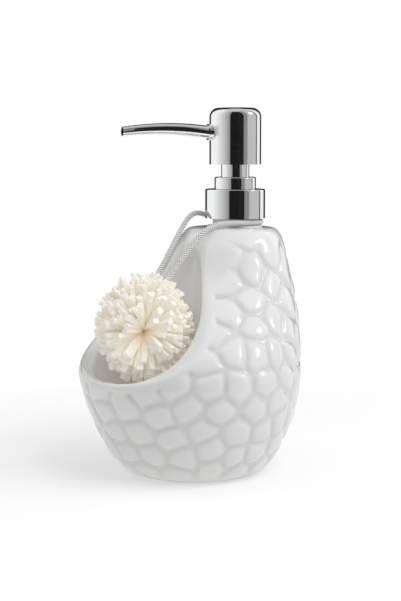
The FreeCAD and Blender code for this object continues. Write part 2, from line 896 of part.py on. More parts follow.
def head_core():
    """Plastic hub that grips the sleeve and rod and leads soap to the spout."""
    outside = d.head_radius - d.head_wall
    sleeve_inside = d.sleeve_radius - d.sleeve_wall
    chamber = d.outlet_ball_radius + d.valve_side_gap
    sleeve_top = core_bottom + d.sleeve_seat
    made = turned("head_core", [
        (d.rod_radius, core_bottom),
        (sleeve_inside, core_bottom),
        (sleeve_inside, sleeve_top),
        (d.sleeve_radius, sleeve_top),
        (d.sleeve_radius, core_bottom),
        (outside, core_bottom),
        (outside, core_top),
        (None, core_top),
        (None, spout_height),
        (d.throat_radius, spout_height),
        (d.throat_radius, chamber_top),
        (chamber, chamber_top),
        (chamber, rod_top),
        (d.rod_radius, rod_top),
    ])
    inner_round = d.head_round - d.head_wall
    round_edges(made, "core_edge", inner_round, is_hoop(outside, core_top))
    drill_for_spout(made, "soap_channel", d.spout_bore, as_size(0), d.head_radius)
    beyond = d.head_radius + d.overrun
    drill_for_spout(made, "spout_socket", d.spout_root_radius, d.spout_seat, beyond)
    return on_spout_side(made)


def spout():
    """Tapered tube that bows up slightly towards its bend, with a straight root."""
    made = new_body("spout")
    stations = [
        (d.spout_root_end, spout_height, d.spout_root_radius),
        (d.spout_bend_reach, spout_height + d.spout_bend_rise, d.spout_bend_radius),
        (d.spout_reach, spout_height + d.spout_tip_rise, d.spout_tip_radius),
    ]
    root_outline = new_sketch(made, "spout_root_outline", "XZ_Plane", d.spout_seat)
    circle(root_outline, None, spout_height, d.spout_root_radius)
    root_pad = made.newObject("PartDesign::Pad", "spout_root")
    root_pad.Profile = root_outline
    root_pad.setExpression("Length", (d.spout_root_end - d.spout_seat).text)
    doc.recompute()
    for kind, name in (("AdditiveLoft", "spout_taper"), ("SubtractiveLoft", "spout_duct")):
        hoops = []
        for index, (reach, height, radius) in enumerate(stations):
            hoop = new_sketch(made, "%s_hoop_%d" % (name, index), "XZ_Plane", reach)
            circle(hoop, None, height, radius if kind == "AdditiveLoft" else d.spout_bore)
            hoops.append(hoop)
        loft = made.newObject("PartDesign::" + kind, name)
        loft.Profile = hoops[0]
        loft.Sections = hoops[1:]
        doc.recompute()
    drill_for_spout(made, "spout_root_duct", d.spout_bore, d.spout_seat, d.spout_root_end)
    return on_spout_side(made)


def spout_bush():
    """Small ring that closes the head's hole round the spout."""
    made = new_body("spout_bush")
    start = d.head_radius - d.head_wall + d.bush_play
    outline = new_sketch(made, "bush_outline", "XZ_Plane", start)
    circle(outline, None, spout_height, d.bush_radius)
    circle(outline, None, spout_height, d.spout_root_radius)
    pad = made.newObject("PartDesign::Pad", "bush_ring")
    pad.Profile = outline
    pad.setExpression("Length", (d.spout_root_end - start).text)
    doc.recompute()
    return on_spout_side(made)


# Scrubber and cord


def cord_socket(name, end, following):
    """Straight hole in the scrubber for one end of the cord."""
    made = doc.addObject("Part::Cylinder", name)
    outward = (following - end).normalize()
    clearance = d.cord_socket_clearance.value
    made.setExpression("Radius", (d.cord_radius + d.cord_socket_clearance).text)
    made.setExpression("Height", d.scrubber_radius.text)
    made.Placement = FreeCAD.Placement(end - outward * clearance, Rotation(UP, outward))
    return made


def scrubber_tie():
    """Binding at the scrubber's middle."""
    made = doc.addObject("Part::Cylinder", "scrubber_tie")
    made.Label = "scrubber_tie"
    made.setExpression("Radius", d.tie_radius.text)
    made.setExpression("Height", d.tie_height.text)
    made.setExpression("Placement.Base.y", (-scrubber_advance).text)
    made.setExpression("Placement.Base.z", (scrubber_height - d.tie_height / 2).text)
    return made


def scrubber_head(tie, route):
    """Mass of foam strips as one plain solid, with room for the tie and the cord's ends."""
    mass = doc.addObject("Part::Ellipsoid", "scrubber_mass")
    mass.setExpression("Radius1", d.scrubber_half_height.text)
    mass.setExpression("Radius2", d.scrubber_radius.text)
    mass.setExpression("Radius3", d.scrubber_radius.text)
    mass.setExpression("Placement.Base.y", (-scrubber_advance).text)
    mass.setExpression("Placement.Base.z", scrubber_height.text)
    hollows = doc.addObject("Part::MultiFuse", "scrubber_hollows")
    hollows.Shapes = [
        cord_socket("near_cord_socket", route[0], route[1]),
        cord_socket("far_cord_socket", route[-1], route[-2]),
        tie,
    ]
    made = doc.addObject("Part::Cut", "scrubber_head")
    made.Label = "scrubber_head"
    made.Base = mass
    made.Tool = hollows
    doc.recompute()
    return made


def cord_path(route):
    """Straight runs through the route, with each corner rounded as far as its runs allow."""
    edges = []
    radii = []
    start = route[0]
    for before, corner, after in zip(route, route[1:], route[2:]):
        arriving = (corner - before).normalize()
        leaving = (after - corner).normalize()
        run = min((corner - before).Length, (after - corner).Length)
        trim = run * CORD_CORNER_SHARE
        radii.append(trim / math.tan(arriving.getAngle(leaving) / 2))
        arc_start = corner - arriving * trim
        arc_end = corner + leaving * trim
        inward = (leaving - arriving).normalize()
        half_turn = arriving.getAngle(leaving) / 2
        depth = radii[-1] * (1 / math.cos(half_turn) - 1)
        edges.append(Part.LineSegment(start, arc_start).toShape())
        edges.append(Part.Arc(arc_start, corner + inward * depth, arc_end).toShape())
        start = arc_end
    edges.append(Part.LineSegment(start, route[-1]).toShape())
    print("cord radii:", " ".join("%.1f" % radius for radius in radii))
    return Part.Wire(edges)


def cord_loop(route):
    """Cord along its route, as one plain tube."""
    path = cord_path(route)
    radius = d.cord_radius.value
    profile = Part.Wire([Part.Circle(route[0], route[1] - route[0], radius).toShape()])
    made = doc.addObject("Part::Feature", "cord_loop")
    made.Label = "cord_loop"
    made.Shape = path.makePipeShell([profile], True, False)
    made.Placement = FreeCAD.Placement()
    expected = math.pi * radius * radius * path.Length
    print("cord length %.1f, volume %.1f of %.1f" % (path.Length, made.Shape.Volume, expected))
    return made


route = [Vector(*point) for point in CORD_ROUTE]
tie = scrubber_tie()
subparts = [
    ceramic_body(),
    neck_insert(),
    neck_gasket(),
    pump_cylinder(),
    rod_guide(),
    guide_bezel(),
    ball_cage(),
    ball("inlet_ball", d.inlet_ball_radius, inlet_ball_height),
    return_spring(),
    dip_tube(),
    collar_shell(),
    collar_liner(),
    piston(),
    piston_seal(),
    pump_rod(),
    stem_sleeve(),
    head_shell(),
    head_core(),
    ball("outlet_ball", d.outlet_ball_radius, outlet_ball_height),
    spout(),
    spout_bush(),
    scrubber_head(tie, route),
    tie,
    cord_loop(route),
]
doc.recompute()

# Nothing is written unless every object and every sub-part is sound
for item in doc.Objects:
    if "Invalid" in item.State or "Error" in item.State:
        raise RuntimeError("%s failed: %s" % (item.Name, item.State))
for item in subparts:
    shape = item.Shape
    if shape.isNull() or not shape.isValid() or len(shape.Solids) != 1:
        raise RuntimeError("%s has no sound single solid" % item.Label)

os.makedirs("parts", exist_ok=True)
for item in subparts:
    item.Shape.exportStep("parts/%s.step" % item.Label)
    box = item.Shape.BoundBox
    print("%-16s volume %10.1f  z %7.2f to %7.2f" % (
        item.Label, item.Shape.Volume, box.ZMin, box.ZMax))
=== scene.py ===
"""Looks of a soap pump bottle: pebbled glaze, chrome, a scrubber of foam strips, a braided cord.

Metres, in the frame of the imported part: +Z is up and the cup faces -Y.
"""
import json
import math
import random

import bpy
import numpy as np
from mathutils import Matrix, Vector, noise
from mathutils.bvhtree import BVHTree
from mathutils.kdtree import KDTree


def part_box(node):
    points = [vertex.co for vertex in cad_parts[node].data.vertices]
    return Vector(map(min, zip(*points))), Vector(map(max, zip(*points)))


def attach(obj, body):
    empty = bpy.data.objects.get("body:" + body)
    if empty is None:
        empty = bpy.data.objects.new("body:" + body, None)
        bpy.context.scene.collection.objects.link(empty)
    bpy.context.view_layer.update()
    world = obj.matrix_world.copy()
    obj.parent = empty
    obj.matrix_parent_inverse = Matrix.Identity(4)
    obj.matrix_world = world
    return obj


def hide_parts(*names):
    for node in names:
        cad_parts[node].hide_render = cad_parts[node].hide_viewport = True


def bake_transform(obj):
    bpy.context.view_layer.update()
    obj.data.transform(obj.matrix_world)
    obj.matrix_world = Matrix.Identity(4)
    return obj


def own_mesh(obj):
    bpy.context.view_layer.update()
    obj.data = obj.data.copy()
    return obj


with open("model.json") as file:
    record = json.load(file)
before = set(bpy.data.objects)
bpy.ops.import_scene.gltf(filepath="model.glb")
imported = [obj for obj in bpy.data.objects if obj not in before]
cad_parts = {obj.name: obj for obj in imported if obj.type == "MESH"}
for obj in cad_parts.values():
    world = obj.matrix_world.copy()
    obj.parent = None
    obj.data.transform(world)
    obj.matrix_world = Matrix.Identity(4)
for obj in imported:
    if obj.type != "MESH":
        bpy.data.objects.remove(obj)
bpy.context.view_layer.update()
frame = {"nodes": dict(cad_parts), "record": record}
NODES = frame["nodes"]
UP = Vector((0, 0, 1))

# Camera, fitted to the photograph
PHOTO_WIDTH = 401
PHOTO_HEIGHT = 601
FOCAL_PIXELS = 1372.0
CAMERA_DISTANCE = 0.735
CAMERA_HEIGHT = 0.176
CAMERA_SHIFT = 0.0032
CAMERA_TILT = math.radians(6.5)
CAMERA_TURN = math.radians(45)
SENSOR = 36.0
NEAREST_SEEN = 0.05

# Colour sockets of a mix node
MIX_FIRST = 6
MIX_SECOND = 7
MIX_RESULT = 2

# Part of a noise's range that most of its values lie in
NOISE_MIDDLE = (0.3, 0.7)

# Plain materials by slot: darker tone, lighter tone, roughness and opacity
GRAINED = {
    "white_plastic": ((0.82, 0.82, 0.80), (0.87, 0.87, 0.85), 0.4, 1.0),
    "seal_rubber": ((0.62, 0.62, 0.60), (0.68, 0.68, 0.66), 0.7, 1.0),
    "clear_plastic": ((0.80, 0.83, 0.84), (0.86, 0.88, 0.89), 0.2, 0.6),
    "binding": ((0.72, 0.69, 0.62), (0.82, 0.79, 0.72), 0.8, 1.0),
}

# Cells of the relief: their middles in the photograph, as listed pixels
CELL_PIXELS = [
    (245, 234), (273, 253), (225, 258), (253, 269), (274, 282), (225, 281), (251, 301),
    (288, 299), (228, 312), (256, 324), (276, 320), (290, 327), (214, 334), (234, 350),
    (258, 355), (278, 354), (292, 354), (204, 364), (289, 374), (238, 390), (269, 385),
    (210, 388), (173, 388), (187, 409), (219, 412), (258, 411), (278, 404), (145, 396),
    (124, 410), (158, 418), (203, 432), (238, 434), (266, 432), (137, 434), (170, 441),
    (279, 424), (151, 457), (182, 461), (212, 452), (233, 461), (256, 455), (214, 471),
    (175, 476), (145, 472), (102, 411), (114, 433), (127, 454), (95, 390), (238, 474),
]
# Cells that the photograph doesn't show
CELL_SPACING = 0.0148
CELL_SEED = 11
CELL_TRIES = 9000
SEED_STRENGTH = 0.2
# Form of a cell: its groove, its crown, its rounded corners and the wobble of its edge
GROOVE_HALF_WIDTH = 0.0030
GROOVE_DEPTH = 0.00050
CELL_CROWN = 0.00105
CELL_CROWN_REACH = 0.0066
CELL_ROUNDING = 0.0011
CELL_NEIGHBOURS = 6
CELL_WOBBLE = 0.0011
CELL_WOBBLE_SCALE = 90.0
CELL_WOBBLE_SEED = 11
# Where the relief fades: by distance from the rim, and by height at the base and the shoulder
RIM_BAND = (0.0026, 0.0050)
BASE_BAND = (0.0012, 0.0060)
SHOULDER_BAND = (0.1180, 0.1265)
# How much a surface faces away from the scrubber's middle, from -1 to 1
OUTER_FACING = 0.15
RELIEF_FACING = (0.05, 0.3)
RIM_FACING = (-0.25, 0.05)
# The rim lies in front of this Y, and no further than this below the scrubber
RIM_BACK = 0.006
RIM_DROP = 0.004
# Rounding of the foot: its height, and its inset as a share of the distance from the Z axis
FOOT_ROUND = 0.0024
FOOT_INSET_SHARE = 0.040
SKIN_VOXEL = 0.0008
SKIN_SMOOTHING = 8

# Cord, whose route repeats the model's
CORD_DIAMETER = 0.0030
CORD_ROUTE = [
    (0.0030, -0.0290, 0.0995),
    (0.0042, -0.0205, 0.1092),
    (0.0053, -0.0134, 0.1169),
    (0.0062, -0.0064, 0.1240),
    (0.0072, 0.0000, 0.1301),
    (0.0085, 0.0080, 0.1333),
    (0.0108, 0.0168, 0.1337),
    (0.0144, 0.0254, 0.1337),
    (0.0143, 0.0374, 0.1337),
    (0.0059, 0.0458, 0.1338),
    (-0.0062, 0.0462, 0.1338),
    (-0.0156, 0.0406, 0.1337),
    (-0.0204, 0.0306, 0.1364),
    (-0.0186, 0.0196, 0.1386),
    (-0.0152, 0.0110, 0.1366),
    (-0.0130, 0.0048, 0.1326),
    (-0.0115, -0.0012, 0.1271),
    (-0.0095, -0.0084, 0.1200),
    (-0.0080, -0.0146, 0.1134),
    (-0.0064, -0.0213, 0.1077),
    (-0.0040, -0.0295, 0.0990),
]
CORD_RESOLUTION = 40
CORD_SIDES = 30
CORD_RING_STEP = 0.00018
BRAID_STRANDS = 6
BRAID_PITCH = 0.0032
BRAID_DEPTH = 0.00024

# Scrubber strips: their number and their section
STRIP_COUNT = 620
STRIP_WIDTH = 0.0035
STRIP_THICKNESS = 0.0026
STRIP_CORNER_SHARE = 0.16
EDGE_STRIP_SHARE = 0.72
# A strip's run: it widens from its root, bows, and is a little narrower at its cut end
STRIP_ROOT = 0.0025
STRIP_ROOT_SHARE = 0.55
STRIP_WIDE_FROM = 0.35
STRIP_END_SHARE = 0.93
STRIP_END_ROUND = 0.00025
STRIP_BOW = 0.0007
STRIP_RINGS = 6
STRIP_LENGTH_SHARES = (0.87, 1.03)
STRIP_CUP_GAP = 0.0004
# Spread of the strips: parted in front of the knot, which stands forward of the scrubber's middle
STRIP_SEED = 5
STRIP_JITTER = 0.045
KNOT_ADVANCE = 0.0075
PARTING_PIXEL = (143.5, 336)
PARTING_ANGLE = math.radians(15)
PARTING_SPREAD = math.radians(30)
PARTING_PUSH = 0.16
FRONT_ANGLE = math.radians(58)

# Floor, which has faded out at 1 / FLOOR_FADE_SCALE metres from the middle
FLOOR_REACH = 1.2
FLOOR_FADE_SCALE = 3.4

# Dark card: its X, then its span in Y and in Z
CARD = (0.150, -0.070, -0.002, 0.060, 0.340)

# Light that the studio sheds on matt surfaces: round the sides by bearing, overhead and from the floor.
# Bearings are in degrees from the camera's side of the object, positive to the camera's right
GLOW = [
    (-180, 0.68), (-90, 0.36), (-35, 0.24), (0, 0.32), (35, 0.50), (90, 0.78), (180, 0.68),
]
OVERHEAD_GLOW = (0.78, 0.78, 0.78, 1.0)
FLOOR_GLOW = (0.84, 0.84, 0.83, 1.0)
# Panels that polished surfaces mirror: by bearing, by bearing in rays that slope down, and overhead
PANELS = [
    (-180, 0.03), (-142, 0.03), (-136, 1.0), (-95, 0.97), (-48, 0.55), (-26, 0.30), (-23, 0.012),
    (23, 0.012), (26, 0.24), (53, 0.28), (56, 0.55), (103, 0.58), (105, 0.06), (110, 0.06),
    (112, 0.95), (137, 0.95), (141, 0.03),
]
SLANTED = [
    (-180, 0.85), (-110, 0.85), (-70, 0.60), (-30, 0.22), (-22, 0.03), (22, 0.03), (30, 0.16),
    (60, 0.40), (115, 0.85), (180, 0.85),
]
OVERHEAD_PANEL = (0.60, 0.60, 0.60, 1.0)
BACKDROP = (1.0, 1.0, 1.0, 1.0)
# Rises of a ray between which one light of the studio gives way to the next
SLANTED_RISE = (-0.065, -0.085)
OVERHEAD_PANEL_RISE = (0.84, 0.94)
OVERHEAD_GLOW_RISE = (0.25, 0.75)
FLOOR_GLOW_RISE = (0.0, -0.25)

# Soft lights: name, place, aim, side, power, and whether polished surfaces mirror it
LAMPS = [
    ("key_light", (0.55, 0.00, 0.75), (0, 0, 0.08), 0.50, 2.0, False),
    ("highlight", (0.60, 0.45, 0.65), (0, 0, 0.09), 0.20, 0.6, True),
    ("fill_light", (-0.45, -0.40, 0.85), (0, 0, 0.07), 0.50, 0.3, False),
]


def camera_axes():
    """Position, rightward, upward and forward directions of the camera."""
    level = Vector((-math.sin(CAMERA_TURN), math.cos(CAMERA_TURN), 0))
    right = Vector((math.cos(CAMERA_TURN), math.sin(CAMERA_TURN), 0))
    forward = level * math.cos(CAMERA_TILT) - UP * math.sin(CAMERA_TILT)
    upward = level * math.sin(CAMERA_TILT) + UP * math.cos(CAMERA_TILT)
    place = -level * CAMERA_DISTANCE + right * CAMERA_SHIFT + UP * CAMERA_HEIGHT
    return place, right, upward, forward


def add_camera():
    """Camera that matches the photograph."""
    place, right, upward, forward = camera_axes()
    data = bpy.data.cameras.new("camera")
    data.sensor_width = SENSOR
    data.lens = SENSOR * FOCAL_PIXELS / PHOTO_HEIGHT
    data.clip_start = NEAREST_SEEN
    made = add_object("camera", data)
    turn = Matrix((right, upward, -forward)).transposed().to_4x4()
    made.matrix_world = Matrix.Translation(place) @ turn
    bpy.context.scene.camera = made


def pixel_ray(pixel):
    """Start and direction of the sight line through a pixel of the photograph."""
    place, right, upward, forward = camera_axes()
    across = (pixel[0] - PHOTO_WIDTH / 2) / FOCAL_PIXELS
    rise = (PHOTO_HEIGHT / 2 - pixel[1]) / FOCAL_PIXELS
    return place, (forward + right * across + upward * rise).normalized()


def smooth_step(low, high, value):
    """Ease from 0 at low to 1 at high, for numbers and arrays."""
    share = np.clip((value - low) / (high - low), 0.0, 1.0)
    return share * share * (3 - 2 * share)


# Meshes


def add_object(name, data):
    """Put a mesh, camera or light in the scene under a name."""
    made = bpy.data.objects.new(name, data)
    bpy.context.scene.collection.objects.link(made)
    return made


def mesh_from(name, points, faces):
    """Smooth-shaded mesh from points and faces."""
    mesh = bpy.data.meshes.new(name)
    mesh.from_pydata(points, [], faces)
    mesh.update()
    mesh.shade_smooth()
    return mesh


def tube_faces(rings, sides):
    """Faces of a tube with closed ends."""
    faces = [tuple(reversed(range(sides))), tuple(range((rings - 1) * sides, rings * sides))]
    for ring in range(rings - 1):
        here = ring * sides
        above = here + sides
        for corner in range(sides):
            following = (corner + 1) % sides
            faces.append((here + corner, here + following, above + following, above + corner))
    return faces


def vertex_vectors(mesh, name):
    """Array with the place or normal of each vertex of a mesh, by its name in Blender."""
    values = np.empty(len(mesh.vertices) * 3)
    mesh.vertices.foreach_get(name, values)
    return values.reshape(-1, 3)


def add_shade(mesh, name, values):
    """Number at each vertex, which a material reads by its name."""
    shade = mesh.attributes.new(name, "FLOAT", "POINT")
    shade.data.foreach_set("value", values)


# Materials


def new_material(name):
    """New material, its node tree and its shader."""
    material = bpy.data.materials.new(name)
    material.use_nodes = True
    tree = material.node_tree
    return material, tree, tree.nodes["Principled BSDF"]


def add_node(tree, kind, **values):
    """Node with some of its inputs or settings set."""
    made = tree.nodes.new(kind)
    for key, value in values.items():
        if key in made.inputs:
            made.inputs[key].default_value = value
        else:
            setattr(made, key, value)
    return made


def set_inputs(node, values):
    """Set inputs of a node by their names."""
    for name, value in values.items():
        node.inputs[name].default_value = value


def plug(tree, source, socket):
    """Link a socket to another node's output, or set it to a plain value."""
    if isinstance(source, bpy.types.NodeSocket):
        tree.links.new(source, socket)
    else:
        socket.default_value = source


def add_ramp(tree, factor, stops):
    """Colour ramp from (position, grey or colour) stops."""
    made = tree.nodes.new("ShaderNodeValToRGB")
    ramp = made.color_ramp
    while len(ramp.elements) < len(stops):
        ramp.elements.new(0.5)
    for element, (position, tone) in zip(ramp.elements, stops):
        element.position = position
        colour = tone if isinstance(tone, tuple) else (tone, tone, tone)
        element.color = (*colour, 1.0)
    tree.links.new(factor, made.inputs["Fac"])
    return made.outputs["Color"]


def tone_ramp(tree, tone, low, high):
    """Ramp between two greys or colours over the middle of a noise."""
    return add_ramp(tree, tone, list(zip(NOISE_MIDDLE, (low, high))))


def mix_colours(tree, factor, first, second, blend="MIX"):
    """Mix of two colours by a factor, each linked or plain."""
    mix = add_node(tree, "ShaderNodeMix", data_type="RGBA", blend_type=blend)
    plug(tree, factor, mix.inputs["Factor"])
    plug(tree, first, mix.inputs[MIX_FIRST])
    plug(tree, second, mix.inputs[MIX_SECOND])
    return mix.outputs[MIX_RESULT]


def add_grain(tree, shader, scale, strength, distance):
    """Fine bump from noise in the part's own coordinates."""
    place = add_node(tree, "ShaderNodeTexCoord").outputs["Object"]
    grain = add_node(tree, "ShaderNodeTexNoise", Scale=scale, Detail=3.0)
    tree.links.new(place, grain.inputs["Vector"])
    bump = add_node(tree, "ShaderNodeBump", Strength=strength, Distance=distance)
    tree.links.new(grain.outputs["Fac"], bump.inputs["Height"])
    tree.links.new(bump.outputs["Normal"], shader.inputs["Normal"])
    return grain.outputs["Fac"]


def read_shade(tree, name):
    """Number that add_shade put at each vertex."""
    return add_node(tree, "ShaderNodeAttribute", attribute_name=name).outputs["Fac"]


def glaze():
    """White glossy glaze, a little uneven in tone, with painted shade that darkens the grooves."""
    material, tree, shader = new_material("glaze")
    tone = add_grain(tree, shader, scale=28.0, strength=0.03, distance=0.0006)
    flat = tone_ramp(tree, tone, (0.83, 0.835, 0.835), (0.87, 0.872, 0.868))
    # Painted shade: the colour turns darker grey along the grooves
    colour = mix_colours(tree, read_shade(tree, "groove"), flat, (0.76, 0.765, 0.76, 1.0))
    tree.links.new(colour, shader.inputs["Base Color"])
    set_inputs(shader, {"Roughness": 0.16, "IOR": 1.5, "Coat Weight": 0.5, "Coat Roughness": 0.05})
    return material


def chrome():
    """Polished chrome with a faint unevenness of polish."""
    material, tree, shader = new_material("chrome")
    tone = add_grain(tree, shader, scale=60.0, strength=0.004, distance=0.0002)
    tree.links.new(tone_ramp(tree, tone, 0.03, 0.07), shader.inputs["Roughness"])
    set_inputs(shader, {"Base Color": (0.88, 0.885, 0.89, 1.0), "Metallic": 1.0})
    return material


def grained(name, low, high, roughness, opacity):
    """Plastic, rubber or binding with a fine grain."""
    material, tree, shader = new_material(name)
    tone = add_grain(tree, shader, scale=900.0, strength=0.12, distance=0.0001)
    tree.links.new(tone_ramp(tree, tone, low, high), shader.inputs["Base Color"])
    set_inputs(shader, {"Roughness": roughness, "Alpha": opacity})
    return material


def bright_steel():
    """Steel wire and balls, lightly drawn."""
    material, tree, shader = new_material("bright_steel")
    tone = add_grain(tree, shader, scale=700.0, strength=0.05, distance=0.0001)
    tree.links.new(tone_ramp(tree, tone, 0.46, 0.6), shader.inputs["Base Color"])
    set_inputs(shader, {"Metallic": 1.0, "Roughness": 0.25})
    return material


def foam():
    """Cream foam with fine pores; painted shade darkens it to warm tan towards the roots, and it is
    nearly white at the cut ends.
    """
    material, tree, shader = new_material("foam")
    tone = add_grain(tree, shader, scale=1500.0, strength=0.35, distance=0.00025)
    # Painted shade: darker and warmer towards the roots, where the strips crowd together
    cream = add_ramp(tree, read_shade(tree, "along"), [
        (0.0, (0.80, 0.66, 0.46)),
        (0.40, (0.95, 0.86, 0.71)),
        (0.70, (0.98, 0.93, 0.83)),
        (0.93, (0.99, 0.95, 0.87)),
        (0.97, (0.99, 0.965, 0.91)),
    ])
    pores = add_ramp(tree, tone, [(0.25, 0.75), (0.6, 1.0)])
    colour = mix_colours(tree, 0.25, cream, pores, "MULTIPLY")
    tree.links.new(colour, shader.inputs["Base Color"])
    # A faint glow stands for the light that scatters inside the foam
    glow = {"Emission Color": (1.0, 0.93, 0.81, 1.0), "Emission Strength": 0.07}
    set_inputs(shader, {"Roughness": 0.85, **glow})
    return material


def braid():
    """Silver-grey braid, dark between its strands."""
    material, tree, shader = new_material("braid")
    tone = add_grain(tree, shader, scale=2200.0, strength=0.3, distance=0.0001)
    silver = add_ramp(tree, read_shade(tree, "raised"), [
        (0.0, (0.03, 0.029, 0.028)),
        (0.19, (0.14, 0.137, 0.131)),
        (0.33, (0.99, 0.985, 0.97)),
    ])
    flecks = add_ramp(tree, tone, [(0.35, 0.7), (0.65, 1.0)])
    colour = mix_colours(tree, 0.3, silver, flecks, "MULTIPLY")
    tree.links.new(colour, shader.inputs["Base Color"])
    set_inputs(shader, {"Roughness": 0.5, "Sheen Weight": 0.3})
    return material


def dress_model():
    """Give each carried-over node the material of its slot."""
    looks = {slot: grained(slot, *values) for slot, values in GRAINED.items()}
    looks["chrome"] = chrome()
    looks["steel"] = bright_steel()
    for entry in frame["record"]["subparts"]:
        look = looks.get(entry["material_slot"])
        if look:
            mesh = NODES[entry["node"]].data
            mesh.materials.clear()
            mesh.materials.append(look)


def yielding_spring():
    """Return spring, copied onto the pump unit in place of the model's own."""
    node = NODES["return_spring"]
    spring = add_object("coil_spring", node.data.copy())
    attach(spring, "pump_unit")
    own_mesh(spring)
    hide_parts("return_spring")


# Glazed bottle


def connected_to(count, faces, start):
    """Which of a number of points the faces connect to a starting point."""
    group = np.arange(count)
    while True:
        lowest = group[faces].min(axis=1)
        following = group.copy()
        for corner in range(faces.shape[1]):
            np.minimum.at(following, faces[:, corner], lowest)
        following = following[following]
        if (following == group).all():
            return group == group[start]
        group = following


def plain_skin():
    """Fine even copy of the bottle's surface, without the soap space that the neck closes."""
    skin = add_object("ceramic_skin", NODES["ceramic_body"].data.copy())
    remesh = skin.modifiers.new("remesh", "REMESH")
    remesh.mode = "VOXEL"
    remesh.voxel_size = SKIN_VOXEL
    even = skin.modifiers.new("even", "SMOOTH")
    even.iterations = SKIN_SMOOTHING
    graph = bpy.context.evaluated_depsgraph_get()
    mesh = bpy.data.meshes.new_from_object(skin.evaluated_get(graph))
    skin.modifiers.clear()
    points = vertex_vectors(mesh, "co")
    corners = np.array([tuple(face.vertices) for face in mesh.polygons if len(face.vertices) == 4])
    neck_low, neck_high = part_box("neck_insert")
    flange = (neck_high[0] - neck_low[0]) / 2
    neck_y = (neck_low[1] + neck_high[1]) / 2
    from_neck = np.hypot(points[:, 0], points[:, 1] - neck_y)
    roof_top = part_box("ceramic_body")[1][2]
    in_hole = (from_neck < flange - SKIN_VOXEL) & (points[:, 2] > roof_top - flange / 2)
    faces = corners[~in_hole[corners].any(axis=1)]
    kept = connected_to(len(points), faces, int(np.argmin(points[:, 2])))
    faces = faces[kept[faces].all(axis=1)]
    used = np.unique(faces)
    renumbered = np.full(len(points), -1)
    renumbered[used] = np.arange(len(used))
    skin.data = mesh_from("ceramic_skin", points[used].tolist(), renumbered[faces].tolist())
    return skin


def distance_to(points, chosen):
    """Distance of each point from the nearest of some chosen points."""
    tree = KDTree(int(chosen.sum()))
    for index, point in enumerate(points[chosen]):
        tree.insert(point, index)
    tree.balance()
    return np.array([tree.find(point)[2] for point in points])


def relief_strength(points, normals):
    """Strength of the relief at each point, and which points face outward.

    The rim, base, shoulder and cup stay smooth.
    """
    low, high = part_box("scrubber_head")
    to_scrubber = (np.array(low) + np.array(high)) / 2 - points
    outward = -(normals * to_scrubber).sum(axis=1) / np.linalg.norm(to_scrubber, axis=1)
    height = points[:, 2]
    at_front = (points[:, 1] < RIM_BACK) & (height > low[2] - RIM_DROP)
    rim = at_front & (outward > RIM_FACING[0]) & (outward < RIM_FACING[1])
    strength = smooth_step(*RELIEF_FACING, outward) * smooth_step(*RIM_BAND, distance_to(points, rim))
    strength *= smooth_step(*BASE_BAND, height) * (1 - smooth_step(*SHOULDER_BAND, height))
    return strength, outward > OUTER_FACING


def relief_seeds(skin, points, allowed):
    """Middles of the relief's cells: those seen in the photograph, then more all round."""
    surface = BVHTree.FromObject(skin, bpy.context.evaluated_depsgraph_get())
    hits = [surface.ray_cast(*pixel_ray(pixel))[0] for pixel in CELL_PIXELS]
    placed = np.array([tuple(hit) for hit in hits if hit is not None])
    shuffled = np.flatnonzero(allowed)
    np.random.default_rng(CELL_SEED).shuffle(shuffled)
    for index in shuffled[:CELL_TRIES]:
        if np.linalg.norm(placed - points[index], axis=1).min() > CELL_SPACING:
            placed = np.vstack([placed, points[index]])
    return placed


def cell_edges(points, seeds):
    """Distance of each point from the edge of its cell, whose corners are rounded."""
    tree = KDTree(len(seeds))
    for index, seed in enumerate(seeds):
        tree.insert(seed, index)
    tree.balance()
    noise.seed_set(CELL_WOBBLE_SEED)
    edges = np.empty(len(points))
    for index, point in enumerate(points):
        place = Vector(point)
        place += noise.noise_vector(place * CELL_WOBBLE_SCALE) * CELL_WOBBLE
        (first, _, near), *others = tree.find_n(place, CELL_NEIGHBOURS)
        total = 0.0
        for other, _, far in others:
            edge = (far * far - near * near) / (2 * (other - first).length)
            total += math.exp(-edge / CELL_ROUNDING)
        edges[index] = max(-math.log(total) * CELL_ROUNDING, 0.0)
    return edges


def pebbled_skin(material):
    """Bottle with its pebble relief and its rounded foot."""
    skin = plain_skin()
    mesh = skin.data
    points = vertex_vectors(mesh, "co")
    normals = vertex_vectors(mesh, "normal")
    strength, outer = relief_strength(points, normals)
    edges = cell_edges(points, relief_seeds(skin, points, outer & (strength > SEED_STRENGTH)))
    groove = (1 - smooth_step(0, GROOVE_HALF_WIDTH, edges)) * strength
    slope = (1 - np.clip(edges / CELL_CROWN_REACH, 0, 1)) ** 2 * strength
    sunk = points - normals * (groove * GROOVE_DEPTH + slope * CELL_CROWN)[:, None]
    foot = (1 - np.clip(points[:, 2] / FOOT_ROUND, 0, 1)) ** 2
    sunk[:, :2] *= (1 - foot * FOOT_INSET_SHARE)[:, None]
    mesh.vertices.foreach_set("co", sunk.ravel())
    mesh.update()
    # Groove share, which the glaze uses for its painted shade in the grooves
    add_shade(mesh, "groove", groove.astype(np.float32))
    mesh.materials.append(material)
    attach(skin, "bottle")
    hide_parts("ceramic_body")
    return skin


# Cord


def cord_line():
    """Smooth line of the cord, as points read from its spline."""
    curve = bpy.data.curves.new("cord_line", "CURVE")
    curve.dimensions = "3D"
    spline = curve.splines.new("NURBS")
    spline.points.add(len(CORD_ROUTE) - 1)
    for point, place in zip(spline.points, CORD_ROUTE):
        point.co = (*place, 1.0)
    spline.order_u = 3
    spline.use_endpoint_u = True
    spline.resolution_u = CORD_RESOLUTION
    holder = bpy.data.objects.new("cord_line", curve)
    mesh = bpy.data.meshes.new_from_object(holder)
    line = [vertex.co.copy() for vertex in mesh.vertices]
    bpy.data.objects.remove(holder)
    return line


def spaced(line, step):
    """Points of a line about one step apart."""
    chosen = [line[0]]
    for point in line[1:-1]:
        if (point - chosen[-1]).length >= step:
            chosen.append(point)
    chosen.append(line[-1])
    return chosen


